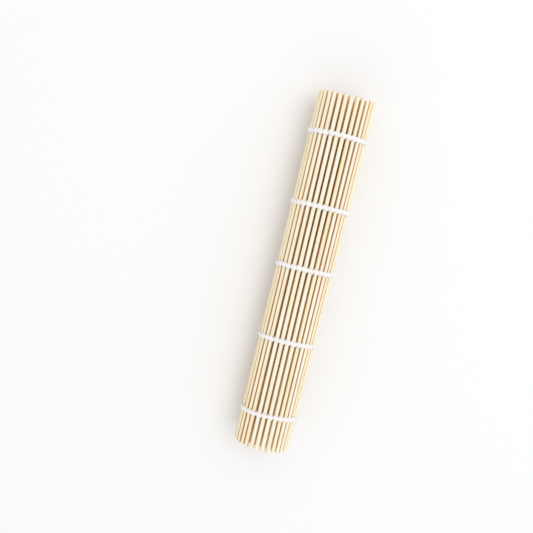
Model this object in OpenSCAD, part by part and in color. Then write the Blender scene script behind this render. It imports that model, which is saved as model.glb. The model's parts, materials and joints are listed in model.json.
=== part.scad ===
// Rolled mat of thin round bamboo sticks, twined side by side by five cotton strings.
// It is stored rolled up, as here, and unrolls flat. X runs across the roll, Y along the
// sticks and Z up. The origin is on the table, under the middle of the roll.

/* [Sticks] */
// How many bamboo sticks the mat has
stick_count = 53; // [30:1:53]
// Length of a full stick
stick_len = 240; // [160:5:300]
// Diameter of a stick
stick_d = 2.8; // [2:0.1:4]
// Space between two neighbouring sticks, which the strings keep
stick_gap = 0.95; // [0.85:0.05:1.4]
// How far the sawn ends stand out of line, either way
end_wander = 0.5; // [0:0.1:1.5]

/* [Strings] */
// How many strings cross the sticks
string_count = 5; // [3:1:5]
// Diameter of one strand; each string is two strands twined round every stick
strand_d = 0.7; // [0.5:0.05:0.9]
// Width of a twined string, along the sticks
string_w = 3; // [1.6:0.1:3.6]
// From the ends of the sticks to the outermost strings
string_inset = 26; // [15:0.5:40]
// Slack between a strand and the stick that it passes
strand_slack = 0.05; // [0.05:0.01:0.15]
// Diameter of the knot that ends each string at the core
knot_d = 2.6; // [2:0.1:3.4]

/* [Roll] */
// Radius of the open core, to the middle of the innermost stick
core_r = 6.2; // [5:0.1:12]
// Air between two turns of the roll, which is loose enough for any one bend to open
turn_gap = 2.9; // [1:0.1:4]
// How many sticks at the outer edge lie flat on the table, under the roll
flat_sticks = 4; // [3:1:5]
// How much sharper the mat bends where it leaves the table
lift_factor = 2; // [1:0.1:2.4]

/* [Colours] */
// The bamboo
bamboo_colour = "burlywood"; // [burlywood, wheat, tan]
// The cotton
cotton_colour = "ivory"; // [ivory, white, linen]

/* [Hidden] */
$fn = 48;
stick_r = stick_d / 2;
pitch = stick_d + stick_gap;
hole_r = stick_r + strand_slack;
wrap_r = hole_r + strand_d;
turn_pitch = 2 * wrap_r + turn_gap;
rest_stick = flat_sticks - 1;

// The string's places along the sticks. The hand that twined it left each a little off.
string_steps = [0, 0.05, 1, 0.5, -0.45];
string_drift = 5.4;
string_spacing = (stick_len - 2 * string_inset) / (string_count - 1);
function string_y(j) = string_drift * string_steps[j]
    + stick_len / 2 - string_inset - j * string_spacing;

// How far each stick is pushed along, in shares of end_wander, over and over
end_steps = [0, 0.6, -0.4, 0.2, -1, 0.3, 1, -0.7, 0.1, -0.2, 0.8];
function stick_shift(i) = end_wander * end_steps[i % len(end_steps)];

// The roll is a spiral. Its radius falls by one turn_pitch for each turn of 360 degrees,
// and the outer radius is what the whole length of the mat needs round that core.
rolled_len = (stick_count - flat_sticks) * pitch;
outer_r = sqrt(core_r * core_r + rolled_len * turn_pitch / PI);
lift_bend = lift_factor * 180 / PI * pitch / outer_r;
function coil_r(turned) = outer_r - turn_pitch * turned / 360;
function coil_bend(turned) = 180 / PI * pitch / coil_r(turned);

// Bend before stick i, once the mat has turned that far already
function bend(i, turned) =
    i == 0 ? 0 :
    i < flat_sticks ? 0 :
    i == flat_sticks ? lift_bend : coil_bend(turned);

// The direction of each stick's own stretch of mat, and of each bend
stick_angle = [for (i = 0, a = 0; i < stick_count; i = i + 1, a = a + bend(i, a)) a];
bend_angle = [for (i = [1 : stick_count - 1]) stick_angle[i] - stick_angle[i - 1]];

// The bends' places, each halfway between two sticks, from the outer edge's own half step
function along(a) = pitch * [cos(a), sin(a)];
chain = [for (i = 0, p = [0, 0]; i < stick_count; p = p + along(stick_angle[i]), i = i + 1)
    p];
raw_mid = [for (i = [0 : stick_count - 1]) chain[i] + along(stick_angle[i]) / 2];
mid_x = [for (p = raw_mid) p[0]];
shift_x = -(min(mid_x) + max(mid_x)) / 2;
stick_at = [for (p = raw_mid) p + [shift_x, wrap_r]];
bend_at = [for (i = [1 : stick_count - 1]) chain[i] + [shift_x, wrap_r]];

function name_of(i) = str("stick_", i < 9 ? "0" : "", i + 1);

// One bamboo stick, round and sawn off square
module stick(i) {
    color(bamboo_colour)
        translate([stick_at[i][0], stick_len / 2 - end_wander + stick_shift(i), stick_at[i][1]])
            rotate([90, 0, 0])
                cylinder(d = stick_d, h = stick_len - 2 * end_wander);
}

// Gives a flat outline the width of string j, at its place along the sticks
module at_string(j) {
    translate([0, string_y(j) + string_w / 2, 0])
        rotate([90, 0, 0])
            linear_extrude(height = string_w)
                children();
}

// Both strands of a string round stick i, as a disc with a hole for the stick
module wrap_outline(i) {
    translate(stick_at[i])
        difference() {
            circle(r = wrap_r);
            circle(r = hole_r);
        }
}

// A string past the sticks from first to last, less the room for a loop of its own
// round each stick that is named in spared
module twined_outline(first, last, spared) {
    difference() {
        for (i = [first : last])
            translate(stick_at[i]) circle(r = wrap_r);
        for (i = [first : last])
            translate(stick_at[i]) circle(r = hole_r);
        for (i = spared)
            translate(stick_at[i]) circle(r = wrap_r + strand_slack);
    }
}

// The knot past the last stick, where the two strands are tied off
module knot(j) {
    reach = wrap_r + knot_d / 2 - strand_d;
    way = [cos(stick_angle[stick_count - 1]), sin(stick_angle[stick_count - 1])];
    place = stick_at[stick_count - 1] + reach * way;
    translate([place[0], string_y(j), place[1]]) sphere(d = knot_d);
}

// String j from the second stick to its knot at the core, as it bends with the mat
module string(j) {
    color(cotton_colour) {
        at_string(j) twined_outline(1, rest_stick - 1, [0, rest_stick]);
        at_string(j) twined_outline(rest_stick + 1, stick_count - 1, [rest_stick]);
        knot(j);
    }
}

// Where the five strings start: each is folded round the outermost stick
module start_loops() {
    color(cotton_colour)
        for (j = [0 : string_count - 1]) at_string(j) wrap_outline(0);
}

// The strings' loops round the last flat stick, on which the roll stands
module rest_loops() {
    color(cotton_colour)
        for (j = [0 : string_count - 1]) at_string(j) wrap_outline(rest_stick);
}

for (i = [0 : stick_count - 1])
    stick(i);
for (j = [0 : string_count - 1])
    string(j);
start_loops();
rest_loops();
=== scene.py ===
# A sushi rolling mat of round bamboo sticks and cotton string, lying rolled up.
# One shared frame, in metres: X runs across the roll, Y along the sticks and Z up.
import json
import math
import random

import bpy
import numpy as np
from mathutils import Euler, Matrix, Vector

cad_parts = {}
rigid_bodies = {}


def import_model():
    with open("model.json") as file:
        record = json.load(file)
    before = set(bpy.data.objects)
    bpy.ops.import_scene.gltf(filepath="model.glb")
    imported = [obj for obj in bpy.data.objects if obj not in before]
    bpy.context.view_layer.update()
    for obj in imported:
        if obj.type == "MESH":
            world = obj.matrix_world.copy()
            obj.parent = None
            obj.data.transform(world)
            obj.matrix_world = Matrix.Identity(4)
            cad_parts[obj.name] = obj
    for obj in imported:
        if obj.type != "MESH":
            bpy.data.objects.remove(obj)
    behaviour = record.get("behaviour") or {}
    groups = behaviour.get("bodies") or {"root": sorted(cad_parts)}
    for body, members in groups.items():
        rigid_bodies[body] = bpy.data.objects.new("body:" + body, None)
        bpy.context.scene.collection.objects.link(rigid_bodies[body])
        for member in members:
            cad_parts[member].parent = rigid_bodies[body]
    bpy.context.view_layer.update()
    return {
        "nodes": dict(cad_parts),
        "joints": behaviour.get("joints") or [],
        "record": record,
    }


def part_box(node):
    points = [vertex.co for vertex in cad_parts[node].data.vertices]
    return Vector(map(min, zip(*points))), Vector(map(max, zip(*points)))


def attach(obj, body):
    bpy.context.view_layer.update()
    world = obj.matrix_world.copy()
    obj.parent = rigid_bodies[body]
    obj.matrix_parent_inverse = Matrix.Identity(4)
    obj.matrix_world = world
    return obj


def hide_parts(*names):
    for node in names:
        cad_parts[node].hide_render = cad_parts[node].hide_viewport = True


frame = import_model()

MM = 0.001

# The camera
# It looks down on the roll from 0.5 m above it, a little from the left. The roll leans
# to the right in the picture, and the lens is a normal one.
CAMERA_AT = Vector((-73.3, 63.3, 497.3)) * MM
CAMERA_TURN = (-8.69, -3.84, 13.53)
LENS_PX = 720
PICTURE_PX = 533
SENSOR_MM = 36
CAMERA_NEAR = 10 * MM

camera = bpy.data.objects.new("camera", bpy.data.cameras.new("camera"))
bpy.context.scene.collection.objects.link(camera)
bpy.context.scene.camera = camera
camera.location = CAMERA_AT
camera.rotation_euler = [math.radians(angle) for angle in CAMERA_TURN]
camera.data.sensor_width = SENSOR_MM
camera.data.lens = SENSOR_MM * LENS_PX / PICTURE_PX
camera.data.clip_start = CAMERA_NEAR

# The rows of the mat
# Each bamboo stick is a row of its own, and the strings between two rows are the hinge.
# A row's place is its middle, the way along the mat and the way out of the roll.
joints = frame["joints"]
hinges = [Vector(joint["pos_m"]) for joint in joints]
row_bodies = [joints[0]["parent"]] + [joint["child"] for joint in joints]
ROWS = len(row_bodies)
stick_nodes = [f"stick_{i + 1:02d}" for i in range(ROWS)]
HALF_PITCH = (hinges[1] - hinges[0]).length / 2


def row_place(i):
    low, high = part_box(stick_nodes[i])
    middle = (low + high) / 2
    middle.y = 0
    before = hinges[i - 1] if i > 0 else 2 * middle - hinges[0]
    after = hinges[i] if i < ROWS - 1 else 2 * middle - hinges[i - 1]
    along = (after - before).normalized()
    return middle, along, Vector((along.z, 0, -along.x))


rows = [row_place(i) for i in range(ROWS)]
TOP_ROW = max(range(ROWS), key=lambda i: rows[i][0].z)

# The bamboo sticks
# Round sticks of raw bamboo, split from the culm, pulled through a round die and sawn
# to length in bundles. They keep their long fibres, and their sawn ends are blunt and
# a little splintered. Nothing but the strings holds them.
stick_low, stick_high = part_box(stick_nodes[0])
STICK_R = (stick_high.z - stick_low.z) / 2
STICK_SIDES = 20
STICK_RINGS = 30
OUT_OF_ROUND = 0.012
OVAL_TWIST = 1.5
LEAN = 1.25 * MM
LEAN_ROWS = 18
SWAY = 0.2 * MM
BOW = 0.1 * MM
SAWN_BEVEL = 0.16 * MM
SAW_TILT = 0.03
SAW_ROUGH = 0.07 * MM
# Ring distances from the sawn face, and how far each ring draws in, in bevels
END_RINGS = [(0, 1), (0.3, 0.35), (1, 0), (3, 0)]
SPLINTERS = (2, 6)
SPLINTER_LONG = (0.5 * MM, 1.7 * MM)
SPLINTER_WIDE = (0.06 * MM, 0.14 * MM)
SPLINTER_ROOT = 0.4 * MM
SPLINTER_TILT = 0.25 * MM
# Where a splinter stands, in stick radii, and the three corners of its root, in radians
SPLINTER_OUT = (0.5, 0.88)
SPLINTER_CORNERS = (0, 2.1, 4.2)
# A splinter's side value gives it a light share of the flanks' painted shade
SPLINTER_SIDE = 0.8
SPLINTER_SAWN = 0.3
# The outer turn of a stored mat bleaches, and the sticks inside it keep more colour; their
# deeper tan is also painted shade, the warm dark shade in the gaps of the roll
BLEACHED_ROWS = 17
KEPT_AND_SHADED_ROWS = 44
BLEACHED_TONE = (0.5, 1.0)
KEPT_AND_SHADED_TONE = (0.0, 0.36)
# A few sticks have a brown mark within this many mm of their middle, and on the others
# it is moved far past their ends
MARKED_SHARE = 0.12
MARK_REACH = 105
NO_MARK = 400
GRAIN_SHIFT = 900
STICK_SEED = 100
SWAY_SEED = 900


def linear(hex_colour):
    parts = [int(hex_colour[i:i + 2], 16) / 255 for i in (1, 3, 5)]
    return [c / 12.92 if c <= 0.04045 else ((c + 0.055) / 1.055) ** 2.4 for c in parts] + [1]


def add_node(tree, kind, links=None, **settings):
    node = tree.nodes.new("ShaderNode" + kind)
    for name, value in settings.items():
        if name == "stops":
            ramp = node.color_ramp.elements
            while len(ramp) < len(value):
                ramp.new(0.5)
            for stop, (place, colour) in zip(ramp, value):
                stop.position = place
                stop.color = linear(colour)
        else:
            setattr(node, name, value)
    for socket, source in (links or {}).items():
        if isinstance(source, bpy.types.NodeSocket):
            tree.links.new(source, node.inputs[socket])
        else:
            node.inputs[socket].default_value = source
    return node


def start_material(name):
    material = bpy.data.materials.new(name)
    material.use_nodes = True
    return material, material.node_tree, material.node_tree.nodes["Principled BSDF"]


# Raw bamboo is a pale straw colour with a dull waxy sheen, and a little light passes
# through it, so the narrow gaps between sticks glow brown. Its fibres run the whole
# length, 0.1 to 0.3 mm wide, some of them brown, and are drawn at 0.35 mm to show.
# The flanks of the sticks, which face the gaps, are painted tan and brown as the shade
# and warm bounced light of the gaps.
# Each grain has its size across the stick and along it.
FIBRE_MM = (0.35, 40)
STREAK_MM = (1.1, 70)
CLOUD_MM = (9, 30)
PORE_MM = 0.32
MARK_MM = 1.4
raw_bamboo, tree, bamboo_shader = start_material("raw_split_bamboo")
place_mm = add_node(tree, "Attribute", attribute_name="stick_mm").outputs["Vector"]
tone, sawn, from_mark, to_side = [
    add_node(tree, "Attribute", attribute_name=name).outputs["Fac"]
    for name in ("tone", "sawn", "from_mark", "to_side")]


def grain_noise(size_mm, detail):
    across_mm, along_mm = size_mm
    squeezed = add_node(tree, "Mapping", {"Vector": place_mm, "Scale": (
        1 / across_mm, 1 / along_mm, 1 / across_mm)})
    return add_node(tree, "TexNoise", {
        "Vector": squeezed.outputs[0], "Scale": 1, "Detail": detail}).outputs["Fac"]


fibres = grain_noise(FIBRE_MM, 2)
streaks = grain_noise(STREAK_MM, 2)
clouds = grain_noise(CLOUD_MM, 1)
flank_shade_mask = add_node(tree, "Math", {0: to_side}, operation="ABSOLUTE").outputs[0]
near_mark = add_node(tree, "Math", {0: from_mark}, operation="ABSOLUTE").outputs[0]
# The two lowest stops, the deep tans of the inner sticks, are partly painted shade
bamboo_colour = add_node(tree, "ValToRGB", {"Fac": tone}, stops=[
    (0.0, "#D0944A"), (0.3, "#E9C485"), (0.5, "#FEF3D6"), (0.8, "#FFFCF0"),
    (1.0, "#FEF9E6")]).outputs[0]
for source, start, end, most, tint in (
        (clouds, 0.4, 0.75, 0.5, "#FAE8C4"),
        (streaks, 0.56, 0.74, 0.4, "#F3DCAC"),
        (fibres, 0.6, 0.72, 0.4, "#D6AF76"),
        # The flanks that face the gaps are painted tan, and their deepest part brown: painted
        # shade
        (flank_shade_mask, 0.58, 1.0, 0.5, "#FBDD9C"),
        (flank_shade_mask, 0.86, 1.0, 0.9, "#BF7629"),
        (near_mark, MARK_MM, 0.2, 0.3, "#CFA365")):
    amount = add_node(tree, "MapRange", {
        "Value": source, "From Min": start, "From Max": end, "To Max": most})
    tinted = add_node(tree, "Mix", {
        "Factor": amount.outputs[0], "A": bamboo_colour, "B": linear(tint)}, data_type="RGBA")
    bamboo_colour = tinted.outputs[2]
pores = add_node(tree, "TexVoronoi", {"Vector": place_mm, "Scale": 1 / PORE_MM})
end_grain = add_node(tree, "ValToRGB", {"Fac": pores.outputs["Distance"]}, stops=[
    (0.12, "#A57C48"), (0.32, "#EBD2A0")])
with_ends = add_node(tree, "Mix", {
    "Factor": sawn, "A": bamboo_colour, "B": end_grain.outputs[0]}, data_type="RGBA")
dull = add_node(tree, "MapRange", {"Value": streaks, "To Min": 0.5, "To Max": 0.72})
relief = add_node(tree, "Math", {0: fibres, 1: clouds}, operation="ADD")
grain_bump = add_node(tree, "Bump", {
    "Height": relief.outputs[0], "Strength": 0.35, "Distance": 0.05 * MM})
tree.links.new(with_ends.outputs[2], bamboo_shader.inputs["Base Color"])
tree.links.new(dull.outputs[0], bamboo_shader.inputs["Roughness"])
tree.links.new(grain_bump.outputs[0], bamboo_shader.inputs["Normal"])
bamboo_shader.inputs["IOR"].default_value = 1.5
bamboo_shader.inputs["Specular IOR Level"].default_value = 0.2
bamboo_shader.inputs["Subsurface Weight"].default_value = 0.2
bamboo_shader.inputs["Subsurface Radius"].default_value = (1.0, 0.75, 0.35)
bamboo_shader.inputs["Subsurface Scale"].default_value = 0.8 * MM


def set_numbers(mesh, name, values):
    layer = mesh.attributes.new(name, "FLOAT", "POINT")
    layer.data.foreach_set("value", np.asarray(values, np.float32))


def smooth_mesh(name, vertices, faces, material):
    mesh = bpy.data.meshes.new(name)
    mesh.from_pydata([tuple(v) for v in vertices], [], faces)
    mesh.materials.append(material)
    mesh.polygons.foreach_set("use_smooth", [True] * len(mesh.polygons))
    piece = bpy.data.objects.new(name, mesh)
    bpy.context.scene.collection.objects.link(piece)
    return piece


def tube_faces(rings, sides):
    """Quads between rings of points, with one polygon over each end."""
    faces = [tuple(range(sides))[::-1]]
    for ring in range(rings - 1):
        for side in range(sides):
            after = (side + 1) % sides
            faces.append((ring * sides + side, ring * sides + after,
                          (ring + 1) * sides + after, (ring + 1) * sides + side))
    faces.append(tuple((rings - 1) * sides + side for side in range(sides)))
    return faces


def common_lean(place, share):
    """How far the mat stands to the side at that place and share of its sticks' length.

    The roll was closed a little askew, so that its upper sticks all lean the same way."""
    from_top = min(abs(place - TOP_ROW) / LEAN_ROWS, 1)
    return LEAN * (2 * share - 1) * math.cos(math.pi / 2 * from_top) ** 2


def own_sway(i, share):
    """How far stick i itself stands to the side of that, as the strings let it."""
    chance = random.Random(SWAY_SEED + i)
    lean = chance.uniform(-SWAY, SWAY)
    curve = chance.uniform(-SWAY, SWAY)
    return lean * (2 * share - 1) + curve * math.sin(math.pi * share)


def stick_sway(i, share):
    return common_lean(i, share) + own_sway(i, share)


def bamboo_stick(i):
    chance = random.Random(STICK_SEED + i)
    low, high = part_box(stick_nodes[i])
    middle, along, outward = rows[i]
    length = high.y - low.y
    oval_turn = chance.uniform(0, math.pi)
    bow = chance.uniform(-BOW, BOW)
    tilts = [chance.uniform(-SAW_TILT, SAW_TILT) for _ in range(2)]
    ends = [(step * SAWN_BEVEL, drawn * SAWN_BEVEL) for step, drawn in END_RINGS]
    rings = [(step, drawn, 0) for step, drawn in ends]
    rings += [(length * (k + 1) / (STICK_RINGS + 1), 0, None) for k in range(STICK_RINGS)]
    rings += [(length - step, drawn, 1) for step, drawn in reversed(ends)]
    places, side_at, sawn_at = [], [], []
    for from_end, drawn, end in rings:
        share = from_end / length
        aside = stick_sway(i, share)
        raised = bow * math.sin(math.pi * share)
        at_saw = end is not None and drawn > 0
        for side in range(STICK_SIDES):
            turn = 2 * math.pi * side / STICK_SIDES
            oval_at = turn - oval_turn - OVAL_TWIST * share
            oval = 1 - OUT_OF_ROUND * (1 - math.cos(2 * oval_at))
            x = (STICK_R - drawn) * oval * math.cos(turn)
            z = (STICK_R - drawn) * oval * math.sin(turn)
            y = low.y + from_end
            if at_saw:
                y += tilts[end] * x + chance.uniform(0, SAW_ROUGH) * (1 - 2 * end)
            places.append(Vector((x + aside, y, z + raised)))
            side_at.append(x / STICK_R)
            sawn_at.append(1.0 if drawn == SAWN_BEVEL else 0.0)
    faces = tube_faces(len(rings), STICK_SIDES)
    for end, way in ((0, -1), (1, 1)):
        for _ in range(chance.randint(*SPLINTERS)):
            turn = chance.uniform(0, 2 * math.pi)
            out = STICK_R * chance.uniform(*SPLINTER_OUT)
            wide = chance.uniform(*SPLINTER_WIDE)
            root = Vector((out * math.cos(turn) + stick_sway(i, end),
                           (low.y, high.y)[end] - way * SPLINTER_ROOT, out * math.sin(turn)))
            tip = root + Vector((chance.uniform(-SPLINTER_TILT, SPLINTER_TILT),
                                 way * (SPLINTER_ROOT + chance.uniform(*SPLINTER_LONG)),
                                 chance.uniform(-SPLINTER_TILT, SPLINTER_TILT)))
            start = len(places)
            splinter = [root + Vector((wide * math.cos(way * a), 0, wide * math.sin(way * a)))
                        for a in SPLINTER_CORNERS] + [tip]
            places += splinter
            faces += [(start, start + 1, start + 2), (start + 1, start, start + 3),
                      (start + 2, start + 1, start + 3), (start, start + 2, start + 3)]
            side_at += [SPLINTER_SIDE] * len(splinter)
            sawn_at += [SPLINTER_SAWN] * len(splinter)
    vertices = [middle + along * p.x + outward * p.z + Vector((0, p.y, 0)) for p in places]
    piece = smooth_mesh(f"bamboo_stick_{i + 1:02d}", vertices, faces, raw_bamboo)
    grain_shift = Vector([chance.uniform(0, GRAIN_SHIFT) for _ in range(3)])
    places_mm = np.asarray([p / MM + grain_shift for p in places], np.float32)
    layer = piece.data.attributes.new("stick_mm", "FLOAT_VECTOR", "POINT")
    layer.data.foreach_set("vector", places_mm.ravel())
    # Inner sticks turn a deeper tan, which is both kept colour and painted shade for the
    # roll's gaps
    kept_and_shaded = min(max((i - BLEACHED_ROWS) / (KEPT_AND_SHADED_ROWS - BLEACHED_ROWS), 0), 1)
    tone_here = chance.uniform(*BLEACHED_TONE) * (1 - kept_and_shaded) + chance.uniform(*KEPT_AND_SHADED_TONE) * kept_and_shaded
    marked = chance.random() < MARKED_SHARE
    mark_at = chance.uniform(-MARK_REACH, MARK_REACH) if marked else NO_MARK
    set_numbers(piece.data, "tone", [tone_here] * len(places))
    set_numbers(piece.data, "to_side", side_at)
    set_numbers(piece.data, "sawn", sawn_at)
    set_numbers(piece.data, "from_mark", [p.y / MM - mark_at for p in places])
    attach(piece, row_bodies[i])
    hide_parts(stick_nodes[i])


for i in range(ROWS):
    bamboo_stick(i)

# The strings
# Five lengths of soft white cotton string, each doubled over the first stick. Its two
# halves pass over and under every stick and cross in the gaps, pulled tight by hand,
# and they fill the gaps where they cross. Each half is itself two yarns twisted.
string_nodes = sorted(name for name in frame["nodes"] if name.startswith("string_"))
STRING_YS = [(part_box(name)[0].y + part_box(name)[1].y) / 2 for name in string_nodes]
loop_low, loop_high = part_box("start_loops")
WRAP_R = (loop_high.z - loop_low.z) / 2
HALF_THICK = (WRAP_R - STICK_R) / 2
REACH = STICK_R + HALF_THICK
HALF_THICK_CROSSED = 0.47 * MM
HALF_WIDE = 1.62 * MM
HALF_WIDE_CROSSED = 1.22 * MM
CROSS_APART = 0.52 * MM
SHOULDER = 2.4
PLY_GROOVE = 0.42
GROOVE_WIDE = 0.4
PLY_LAY = 2.6 * MM
# How full a strand is at its first and last rings
STRAND_CAPS = (0.55, 0.88, 1)
SWELL = (0.94, 1.06)
WANDER = 0.2 * MM
WAVE = 0.25 * MM
WAVE_STICKS = 19
STRAND_SIDES = 16
STRAND_RINGS = 21
STITCH_SEED = 500

# Cotton string is matt and nearly white in the light, and the folds of its fibre are
# painted a warm pale grey as shade. Its surface is loose fibre, which bump gives at 0.25 mm.
YARN_MM = 0.25
PATCH_MM = 6
white_cotton, tree, cotton_shader = start_material("twisted_white_cotton")
cotton_place = add_node(tree, "TexCoord").outputs["Object"]
fluff = add_node(tree, "TexNoise", {
    "Vector": cotton_place, "Scale": 1 / (YARN_MM * MM), "Detail": 4}).outputs["Fac"]
patches = add_node(tree, "TexNoise", {
    "Vector": cotton_place, "Scale": 1 / (PATCH_MM * MM), "Detail": 1}).outputs["Fac"]
cotton_white = add_node(tree, "Mix", {
    "Factor": patches, "A": linear("#FEFCFD"), "B": linear("#FAF7F5")}, data_type="RGBA")
# The hollows of the fluff are painted a warm pale grey: painted shade
fold_shade_mask = add_node(tree, "MapRange", {
    "Value": fluff, "From Min": 0.55, "From Max": 0.3, "To Max": 0.35})
shaded_white = add_node(tree, "Mix", {
    "Factor": fold_shade_mask.outputs[0], "A": cotton_white.outputs[2],
    "B": linear("#E6E0DC")}, data_type="RGBA")
cotton_bump = add_node(tree, "Bump", {"Height": fluff, "Strength": 0.6, "Distance": 0.12 * MM})
tree.links.new(shaded_white.outputs[2], cotton_shader.inputs["Base Color"])
tree.links.new(cotton_bump.outputs[0], cotton_shader.inputs["Normal"])
cotton_shader.inputs["Roughness"].default_value = 0.9
cotton_shader.inputs["Specular IOR Level"].default_value = 0.2
cotton_shader.inputs["Sheen Weight"].default_value = 0.15


def add_strand(vertices, faces, centres, outwards, half_wides, half_thicks, lay_start):
    """Adds a two-yarn strand along centres, where outwards points away from the stick."""
    start = len(vertices)
    length = lay_start
    last = len(centres) - 1
    for k, centre in enumerate(centres):
        tangent = (centres[min(k + 1, last)] - centres[max(k - 1, 0)]).normalized()
        side = tangent.cross(outwards[k]).normalized()
        out = side.cross(tangent)
        length += (centre - centres[max(k - 1, 0)]).length
        cap = STRAND_CAPS[min(k, last - k, 2)]
        for s in range(STRAND_SIDES):
            turn = 2 * math.pi * s / STRAND_SIDES
            between_yarns = math.sin(turn + math.pi * length / PLY_LAY) / GROOVE_WIDE
            full = cap * (1 - PLY_GROOVE * math.exp(-between_yarns ** 2))
            vertices.append(centre + side * (half_wides[k] * full * math.cos(turn))
                            + out * (half_thicks[k] * full * math.sin(turn)))
    for face in tube_faces(len(centres), STRAND_SIDES):
        faces.append(tuple(start + v for v in face))


def wave(j, i):
    """How far string j has drifted along the sticks by the time it passes place i."""
    return WAVE * (j + 1) * math.cos(2 * math.pi * (i - TOP_ROW) / WAVE_STICKS)


def strand_past(i, j, start, end, wander):
    """The strand of string j from one turn round stick i to another.

    Turn 0 is the gap before the stick, half a turn over it is the gap after it, and
    turns below 0 pass under it."""
    middle, along, outward = rows[i]
    share = (STRING_YS[j] - stick_low.y) / (stick_high.y - stick_low.y)
    steps = round((STRAND_RINGS - 1) * abs(end - start) / math.pi)
    centres, outwards, half_wides, half_thicks = [], [], [], []
    for step in range(steps + 1):
        turn = start + (end - start) * step / steps
        before, over = math.cos(turn), math.sin(turn)
        folded = start != 0 and before > 0
        reach_along = REACH if folded else HALF_PITCH
        boxed = (abs(before) / reach_along) ** SHOULDER + (abs(over) / REACH) ** SHOULDER
        far = boxed ** (-1 / SHOULDER)
        away = outward * over - along * before
        crossing = math.sin(turn / 2) if start != 0 else -before * math.copysign(1, end)
        y = STRING_YS[j] + wave(j, i - before / 2) + CROSS_APART * crossing + wander * over
        flat = 1 if folded else abs(over)
        aside = common_lean(i - before / 2, share) + own_sway(i, share) * flat
        centres.append(middle + away * far + along * aside + Vector((0, y, 0)))
        outwards.append(away)
        half_wides.append(HALF_WIDE_CROSSED + (HALF_WIDE - HALF_WIDE_CROSSED) * flat)
        half_thicks.append(HALF_THICK_CROSSED + (HALF_THICK - HALF_THICK_CROSSED) * flat)
    return centres, outwards, half_wides, half_thicks


def stitches(i):
    """All the string that holds stick i, from the gap before it to the gap after it."""
    chance = random.Random(STITCH_SEED + i)
    vertices, faces = [], []
    over_and_under = ((0, math.pi), (0, -math.pi))
    folded_over = ((-math.pi, math.pi),)
    for j in range(len(STRING_YS)):
        wander = chance.uniform(-WANDER, WANDER)
        for start, end in folded_over if i == 0 else over_and_under:
            swell = chance.uniform(*SWELL)
            centres, outwards, half_wides, half_thicks = strand_past(i, j, start, end, wander)
            swollen = [wide * swell for wide in half_wides]
            add_strand(vertices, faces, centres, outwards, swollen, half_thicks,
                       chance.uniform(0, PLY_LAY))
    piece = smooth_mesh(f"stitches_{i + 1:02d}", vertices, faces, white_cotton)
    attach(piece, row_bodies[i])
    return piece


stitch_pieces = [stitches(i) for i in range(ROWS)]
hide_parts("start_loops", *string_nodes)
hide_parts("rest_loops")

# The string ends
# Past the last stick each string's two halves are tied in an overhand knot, the kind
# that can't slip back through the gap. The tails are cut off short, curl with the roll
# and have frayed a little.
KNOT_FROM_STICK = 2.85 * MM
KNOT_R = 1.0 * MM
KNOT_FLAT = 1.5
KNOT_RINGS = 40
YARN_HALF = 0.54 * MM
TAILS = (6 * MM, 7.2 * MM)
TAIL_CURL_R = 6 * MM
TAIL_RINGS = 12
TAIL_SPREAD = 0.9 * MM
FRAYED_FIBRES = 5
FRAYED_LONG = 2.2 * MM
FRAYED_SHARES = (0.6, 1)
FRAYED_SPLAY = 0.5
FRAYED_RINGS = 5
FIBRE_HALF = 0.11 * MM
ENDS_SEED = 700


def overhand_knot(vertices, faces, centre, chance):
    """A pulled-tight overhand knot, which is a closed trefoil of string."""
    tilt = Euler([chance.uniform(0, 2 * math.pi) for _ in range(3)]).to_matrix()
    centres, outwards = [], []
    for step in range(KNOT_RINGS + 1):
        turn = 2 * math.pi * step / KNOT_RINGS
        spot = Vector((math.sin(turn) + 2 * math.sin(2 * turn),
                       math.cos(turn) - 2 * math.cos(2 * turn),
                       -KNOT_FLAT * math.sin(3 * turn)))
        spot = tilt @ spot * (KNOT_R / 3)
        centres.append(centre + spot)
        outwards.append(spot.normalized())
    halves = [YARN_HALF] * len(centres)
    add_strand(vertices, faces, centres, outwards, halves, halves, 0)


def loose_end(vertices, faces, start, steer, outward, spread, length, half, rings, lay):
    """A curling tail from start, which heads along steer and drifts by spread in all."""
    centres = []
    for step in range(rings):
        turned = length * step / (rings - 1) / TAIL_CURL_R
        ahead = start + steer * (TAIL_CURL_R * math.sin(turned))
        drifted = ahead + spread * (step / (rings - 1))
        centres.append(drifted - outward * (TAIL_CURL_R * (1 - math.cos(turned))))
    halves = [half] * rings
    add_strand(vertices, faces, centres, [outward] * rings, halves, halves, lay)
    return centres[-1], turned


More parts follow.
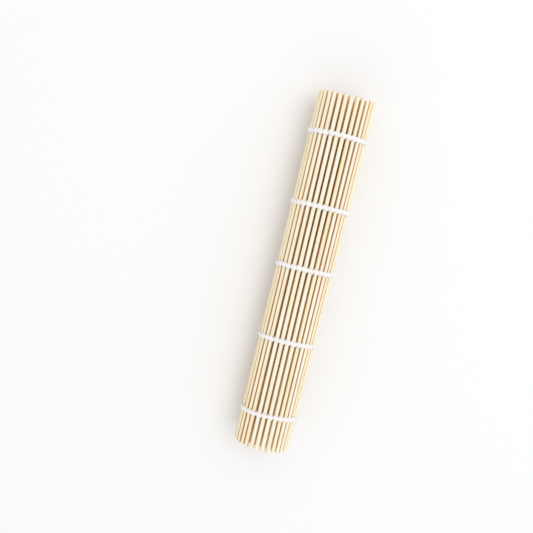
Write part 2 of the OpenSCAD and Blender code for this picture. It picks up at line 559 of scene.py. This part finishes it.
def string_ends():
    middle, along, outward = rows[-1]
    vertices, faces = [], []
    for j, string_y in enumerate(STRING_YS):
        chance = random.Random(ENDS_SEED + j)
        y = string_y + wave(j, ROWS - 0.5)
        knot = middle + along * KNOT_FROM_STICK + Vector((0, y, 0))
        overhand_knot(vertices, faces, knot, chance)
        for way in (-1, 1):
            spread = Vector((0, way * (TAIL_SPREAD + chance.uniform(0, TAIL_SPREAD)), 0))
            tip, turned = loose_end(vertices, faces, knot, along, outward, spread,
                                    chance.uniform(*TAILS), YARN_HALF, TAIL_RINGS,
                                    chance.uniform(0, PLY_LAY))
            heading = along * math.cos(turned) - outward * math.sin(turned)
            inward = outward * math.cos(turned) + along * math.sin(turned)
            for _ in range(FRAYED_FIBRES):
                ways = [chance.uniform(-FRAYED_SPLAY, FRAYED_SPLAY) for _ in range(3)]
                loose_end(vertices, faces, tip - heading * YARN_HALF, heading, inward,
                          Vector(ways) * FRAYED_LONG,
                          FRAYED_LONG * chance.uniform(*FRAYED_SHARES),
                          FIBRE_HALF, FRAYED_RINGS, 0)
    piece = smooth_mesh("string_ends", vertices, faces, white_cotton)
    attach(piece, row_bodies[-1])


string_ends()

# The table and the light
# A plain white table top, in the even light of a tent of white cloth with one large
# window lamp above it, a little to the right.
TABLE_HALF = 3
table_white, tree, table_shader = start_material("white_table")
table_shader.inputs["Base Color"].default_value = linear("#FBFBFB")
table_shader.inputs["Roughness"].default_value = 0.9
table_shader.inputs["Specular IOR Level"].default_value = 0.1
table_top = smooth_mesh("table_top", [
    (x * TABLE_HALF, y * TABLE_HALF, 0) for x, y in ((-1, -1), (1, -1), (1, 1), (-1, 1))],
    [(0, 1, 2, 3)], table_white)

TENT_STRENGTH = 0.78
world = bpy.data.worlds.new("light_tent")
bpy.context.scene.world = world
world.use_nodes = True
world.node_tree.nodes["Background"].inputs["Color"].default_value = (1, 1, 1, 1)
world.node_tree.nodes["Background"].inputs["Strength"].default_value = TENT_STRENGTH

WINDOW_AT = Vector((0.35, 0.25, 1.7))
WINDOW_WIDE = 1.2
WINDOW_WATTS = 9
window = bpy.data.lights.new("window", "AREA")
window.size = WINDOW_WIDE
window.energy = WINDOW_WATTS
window_holder = bpy.data.objects.new("window", window)
bpy.context.scene.collection.objects.link(window_holder)
window_holder.location = WINDOW_AT
window_holder.rotation_euler = (-WINDOW_AT).to_track_quat("-Z", "Y").to_euler()

bpy.context.scene.view_settings.view_transform = "Standard"
